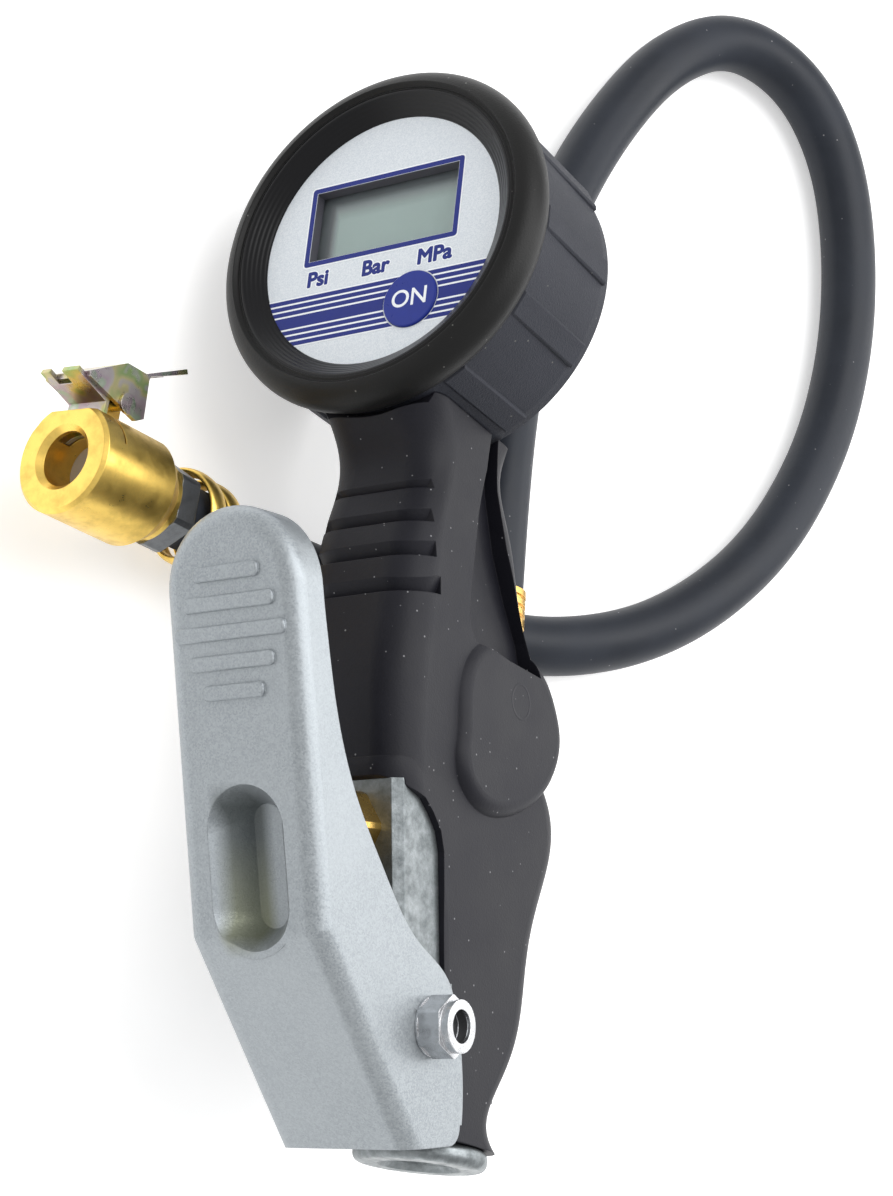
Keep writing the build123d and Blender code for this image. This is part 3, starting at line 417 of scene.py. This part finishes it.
def ink(name, colour, roughness=0.38):
    """Screen print, with a slightly uneven film."""
    shader = Shader(name, colour, roughness)
    film = shader.noise(0.8, 3.0)
    thin, thick = (tuple(c * share for c in colour) for share in (0.9, 1.1))
    shader.set("Base Color", shader.mix(film, thin, thick))
    shader.set("Roughness", shader.spread(film, 0.3, 0.7, roughness - 0.05, roughness + 0.08))
    shader.set("Specular IOR Level", 0.25)
    return shader.material


LCD_TOP_SHADE = (8.2, 12.6)      # the painted shadow of the recess deepens over this stretch of y
LCD_LEFT_SHADE = (-12.6, -14.4)  # and over this stretch of x


def lcd_cell():
    """Reflective liquid crystal cell: grey-green, with a painted shadow of the recess along its top and left
    edges.
    """
    shader = Shader("lcd_cell", (0.36, 0.47, 0.44), 0.25)
    _, place = shader.local(GAUGE)
    top = shader.spread(place["Y"], *LCD_TOP_SHADE)
    left = shader.spread(place["X"], *LCD_LEFT_SHADE)
    shade = shader.maths("MAXIMUM", top, left)
    grain = shader.noise(3.0, 2.0)
    pale = shader.mix(grain, (0.335, 0.455, 0.43), (0.375, 0.495, 0.47))
    # painted shadow of the recess walls on the top and left of the cell
    shader.set("Base Color", shader.mix(shader.maths("MULTIPLY", shade, 0.8), pale, (0.13, 0.13, 0.15)))
    return shader.material


def clear_pane():
    """Thin clear window over the display."""
    shader = Shader("clear_pane", (1, 1, 1), 0.04)
    shader.set("Transmission Weight", 1.0)
    shader.set("IOR", 1.2)
    return shader.material


def plain(name, colour, roughness, metallic=0.0, grain=1.5, depth=0.02):
    """A moulded or coated surface with a light grain."""
    shader = Shader(name, colour, roughness, metallic)
    shader.soften(0.15)
    slow = shader.noise(0.2, 4.0)
    darker, lighter = (tuple(c * share for c in colour) for share in (0.85, 1.15))
    shader.set("Base Color", shader.mix(slow, darker, lighter))
    shader.bump(shader.noise(grain, 3.0), depth)
    return shader.material


BEZEL_RING_RATE = 9.0      # radians of wave per millimetre of radius


def bezel_plastic():
    """Gloss black cone with fine turning rings round the dial."""
    shader = Shader("bezel_plastic", (0.004, 0.004, 0.005), 0.32)
    _, place = shader.local(GAUGE)
    turns = shader.maths("MULTIPLY", shader.distance(place["X"], place["Y"]), BEZEL_RING_RATE)
    waves = shader.maths("SINE", turns)
    shader.set("Specular IOR Level", 0.22)
    shader.bump(waves, 0.02)
    return shader.material


grip_material = grip_rubber()
brass = metal("turned_brass", (0.80, 0.50, 0.13), 0.25).material
bright_zinc = metal("zinc_steel", (0.72, 0.73, 0.75), 0.22, stain=0.3, scratch=0.015).material
dark_steel = metal("dark_steel", (0.20, 0.21, 0.22), 0.36, stain=0.3).material
ground_steel = metal("ground_steel", (0.52, 0.52, 0.53), 0.3).material
moulded_plastic = plain("moulded_plastic", (0.022, 0.022, 0.024), 0.5)
chuck_gold = chuck_brass()
clip_zinc = clip_plate()
blue_ink = ink("blue_ink", (0.010, 0.021, 0.19))
white_ink = ink("white_ink", (0.82, 0.85, 0.88))
button_blue = ink("button_blue", (0.012, 0.027, 0.235), 0.32)

paint(["gauge_boot"], boot_rubber())
paint(["gauge_bezel"], bezel_plastic())
paint(["gauge_case", "battery_cover", "battery_holder", "button_switch", "lock_nut_ring"], moulded_plastic)
paint(["dial_face"], dial_silver())
paint(["lcd_window"], clear_pane())
paint(["lcd_panel"], lcd_cell())
paint(["lcd_contact_strips", "stem_seal", "valve_seal"], plain("seal_rubber", (0.02, 0.02, 0.02), 0.6))
paint(["circuit_board"], plain("board_green", (0.02, 0.14, 0.05), 0.35))
paint(["board_screws", "battery_contact", "battery", "valve_spring", "clip_spring", "pivot_bush"],
      ground_steel)
paint(["on_button"], button_blue)
paint(["gauge_stem", "pressure_sensor", "gland_nut", "hose_adapter", "hose_ferrule", "valve_plug",
       "gallery_plug", "valve_stem"], brass)
paint(["gauge_seal_washer"], metal("copper", (0.72, 0.33, 0.2), 0.35).material)
paint(["inlet_filter"], metal("filter_bronze", (0.42, 0.30, 0.16), 0.6, scratch=0.12).material)
paint(["valve_body"], cast_alloy())
paint(["grip_sleeve"], grip_material)
paint(["trigger_lever"], trigger_paint())
paint(["pivot_bolt", "pivot_lock_nut", "pivot_washers"], bright_zinc)
paint(["chuck_seal"], plain("grey_rubber", (0.40, 0.38, 0.37), 0.5))
paint([hose], hose_rubber())
paint(["chuck_body", "chuck_barb", "chuck_depressor", "spring_guard"], chuck_gold)
paint(["chuck_nut"], dark_steel)
paint(["clip_lever", "clip_jaw", "clip_pin"], clip_zinc)


# ---------------------------------------------------------------- making pieces
def add_mesh(name, bm, matrix, body, material):
    """Turns a bmesh in a working frame into a flat-shaded piece that rides on a body."""
    bm.transform(matrix)
    data = bpy.data.meshes.new(name)
    bm.to_mesh(data)
    bm.free()
    for face in data.polygons:
        face.use_smooth = False
    piece = bpy.data.objects.new(name, data)
    bpy.context.scene.collection.objects.link(piece)
    paint([piece], material)
    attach(piece, body)
    return piece


def thicken(bm, height):
    """Gives flat print a little body, upwards along z."""
    made = bmesh.ops.extrude_face_region(bm, geom=list(bm.faces))
    raised = [item for item in made["geom"] if isinstance(item, bmesh.types.BMVert)]
    bmesh.ops.translate(bm, verts=raised, vec=(0, 0, height))
    bmesh.ops.recalc_face_normals(bm, faces=list(bm.faces))


# ---------------------------------------------------------------- dial print
DIAL_R = 26.98
FACE_Z = -0.05
FILM = 0.03
BUTTON_CENTRE = (8.8, -15.0)
BUTTON_R = 6.0
BUTTON_TOP = 0.45
LCD_CENTRE = (0, 5.9)
LCD_WINDOW = (33.4, 15.6)
BAND_TOP = -9.6
THIN_STRIPE = 0.93
WHITE_LINE = 0.40
THICK_STRIPE = 2.6
UNIT_SIZE = 4.6
UNIT_Y = -6.2
SWELL_COPIES = 12
COPY_STEP = 0.0004          # keeps the faces of the copies apart


def band_between(low, high, name, z, material):
    """A horizontal band of print, stopped by the dial's edge and by the button."""
    bm = bmesh.new()
    steps = 10
    for side in (-1, 1):
        rows = []
        for step in range(steps + 1):
            y = low + (high - low) * step / steps
            end = side * sqrt(DIAL_R ** 2 - y ** 2)
            reach = (BUTTON_R + 0.25) ** 2 - (y - BUTTON_CENTRE[1]) ** 2
            start = BUTTON_CENTRE[0] + side * (sqrt(reach) if reach > 0 else 0)
            rows.append([bm.verts.new((start, y, z)), bm.verts.new((end, y, z))])
        for lower, upper in zip(rows, rows[1:]):
            bm.faces.new((lower[0], lower[1], upper[1], upper[0]))
    bmesh.ops.recalc_face_normals(bm, faces=list(bm.faces))
    thicken(bm, FILM)
    return add_mesh(name, bm, GAUGE, "tool", material)


def frame_shape(bm, half_x, half_y, corner, z):
    """A ring of vertices round a rounded rectangle about the display."""
    ring = []
    for sx, sy, start in ((1, 1, 0), (-1, 1, 90), (-1, -1, 180), (1, -1, 270)):
        for step in range(5):
            turn = radians(start + step * 22.5)
            x = LCD_CENTRE[0] + sx * (half_x - corner) + corner * cos(turn)
            y = LCD_CENTRE[1] + sy * (half_y - corner) + corner * sin(turn)
            ring.append(bm.verts.new((x, y, z)))
    return ring


def display_border(name, inner, outer, corner, z, material):
    """A printed line round the display; inner and outer are margins round the opening."""
    bm = bmesh.new()
    rings = [frame_shape(bm, LCD_WINDOW[0] / 2 + m, LCD_WINDOW[1] / 2 + m, c, z)
             for m, c in ((inner, 0.05), (outer, corner))]
    count = len(rings[0])
    for i in range(count):
        j = (i + 1) % count
        bm.faces.new((rings[0][i], rings[1][i], rings[1][j], rings[0][j]))
    bmesh.ops.recalc_face_normals(bm, faces=list(bm.faces))
    thicken(bm, FILM)
    return add_mesh(name, bm, GAUGE, "tool", material)


def word(name, text, centre, size, z, body, material, swell):
    """A printed word, centred on a point of the dial; swell makes its strokes bolder all round."""
    data = bpy.data.curves.new(name, "FONT")
    data.body = text
    data.size = size
    data.align_x = "CENTER"
    data.align_y = "CENTER"
    data.extrude = FILM / 3
    data.resolution_u = 6
    flat = bpy.data.objects.new(name, data)
    bpy.context.scene.collection.objects.link(flat)
    bpy.context.view_layer.update()
    mesh = bpy.data.meshes.new_from_object(flat.evaluated_get(bpy.context.evaluated_depsgraph_get()))
    bpy.data.objects.remove(flat)
    bm = bmesh.new()
    for step in range(SWELL_COPIES):
        turn = 2 * pi * step / SWELL_COPIES
        done = len(bm.verts)
        bm.from_mesh(mesh)
        bm.verts.ensure_lookup_table()
        shift = (swell * cos(turn), swell * sin(turn), COPY_STEP * step)
        bmesh.ops.translate(bm, verts=bm.verts[done:], vec=shift)
    bpy.data.meshes.remove(mesh)
    bm.transform(Matrix.Translation((*centre, z)))
    return add_mesh(name, bm, GAUGE, body, material)


def print_dial():
    """Display border, unit names and the striped band."""
    display_border("display_outline", 0.0, 1.42, 0.9, FACE_Z + 0.005, white_ink)
    display_border("display_border", 0.05, 1.12, 0.7, FACE_Z + 0.02, blue_ink)
    edges = []
    y = BAND_TOP
    for thickness in [THIN_STRIPE] * 3 + [THICK_STRIPE] + [THIN_STRIPE] * 3:
        edges.append((y - thickness, y))
        y -= thickness + WHITE_LINE
    band_between(edges[-1][0] - 0.3, BAND_TOP + 0.3, "band_ground", FACE_Z + 0.005, white_ink)
    for index, (low, high) in enumerate(edges):
        band_between(low, high, f"band_stripe_{index + 1}", FACE_Z + 0.02, blue_ink)
    for name, text, x in (("unit_psi", "Psi", -14.0), ("unit_bar", "Bar", -0.4), ("unit_mpa", "MPa", 13.2)):
        word(name + "_halo", text, (x, UNIT_Y), UNIT_SIZE, FACE_Z + 0.01, "tool",
             white_ink, 0.45)
        word(name, text, (x, UNIT_Y), UNIT_SIZE, FACE_Z + 0.035, "tool", blue_ink, 0.19)
    word("button_word", "ON", BUTTON_CENTRE, 5.2, BUTTON_TOP + 0.01, "button", white_ink, 0.05)


print_dial()


# ---------------------------------------------------------------- inlet thread
INLET_R = 5.9
THREAD_PITCH = 1.34
THREAD_DEPTH = 0.62


def inlet_thread():
    """The female thread inside the mouth of the air inlet."""
    bm = bmesh.new()
    turns, sides = 8, 48
    rings = []
    for step in range(turns * sides + 1):
        turn = 2 * pi * step / sides
        z = 1.3 + THREAD_PITCH * step / sides
        taper = min(1.0, step / sides, (turns * sides - step) / sides)
        ring = []
        for offset, height in ((-0.60, 0.0), (-0.12, 1.0), (0.12, 1.0), (0.60, 0.0)):
            r = INLET_R + 0.02 - THREAD_DEPTH * height * taper
            ring.append(bm.verts.new((r * cos(turn), r * sin(turn), z + offset)))
        rings.append(ring)
    for a, b in zip(rings, rings[1:]):
        for k in range(3):
            bm.faces.new((a[k], b[k], b[k + 1], a[k + 1]))
        bm.faces.new((a[3], b[3], b[0], a[0]))
    bm.faces.new(rings[0])
    bm.faces.new(list(reversed(rings[-1])))
    bmesh.ops.recalc_face_normals(bm, faces=list(bm.faces))
    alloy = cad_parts["valve_body"].data.materials[0]
    return add_mesh("inlet_thread", bm, INLET, "tool", alloy)


inlet_thread()


# ---------------------------------------------------------------- floor and light
FLOOR_GLOW = 0.42          # a light table: it keeps the shadows pale


def make_floor():
    """A plain white light table under the tool."""
    bm = bmesh.new()
    bmesh.ops.create_grid(bm, x_segments=1, y_segments=1, size=3.0)
    data = bpy.data.meshes.new("floor")
    bm.to_mesh(data)
    bm.free()
    floor = bpy.data.objects.new("floor", data)
    bpy.context.scene.collection.objects.link(floor)
    material = bpy.data.materials.new("floor_white")
    material.use_nodes = True
    bsdf = material.node_tree.nodes["Principled BSDF"]
    bsdf.inputs["Base Color"].default_value = (0.92, 0.92, 0.92, 1)
    bsdf.inputs["Roughness"].default_value = 0.7
    bsdf.inputs["Emission Color"].default_value = (1, 1, 1, 1)
    bsdf.inputs["Emission Strength"].default_value = FLOOR_GLOW
    data.materials.append(material)


def area_light(name, direction, distance, size, power, colour=(1, 1, 1)):
    """A soft rectangular light that looks at the tool."""
    aim = Vector((0.0, 0.02, 0.03))
    data = bpy.data.lights.new(name, "AREA")
    data.shape = "RECTANGLE"
    data.size, data.size_y = size
    data.energy = power
    data.color = colour
    light = bpy.data.objects.new(name, data)
    light.location = aim + Vector(direction).normalized() * distance
    light.rotation_euler = Vector(direction).to_track_quat("Z", "Y").to_euler()
    bpy.context.scene.collection.objects.link(light)


def make_light():
    """A bright room with one large soft light above the tool and a weaker one beside it."""
    world = bpy.data.worlds.new("studio")
    world.use_nodes = True
    world.node_tree.nodes["Background"].inputs[0].default_value = (1, 1, 1, 1)
    world.node_tree.nodes["Background"].inputs[1].default_value = 0.75
    bpy.context.scene.world = world
    area_light("key", (0.30, 0.30, 0.92), 1.1, (0.9, 0.9), 8.0)
    area_light("side", (0.85, 0.10, 0.50), 1.0, (0.5, 0.9), 4.0)
    bpy.context.scene.view_settings.view_transform = "Standard"


make_floor()
make_light()

bpy.context.view_layer.update()
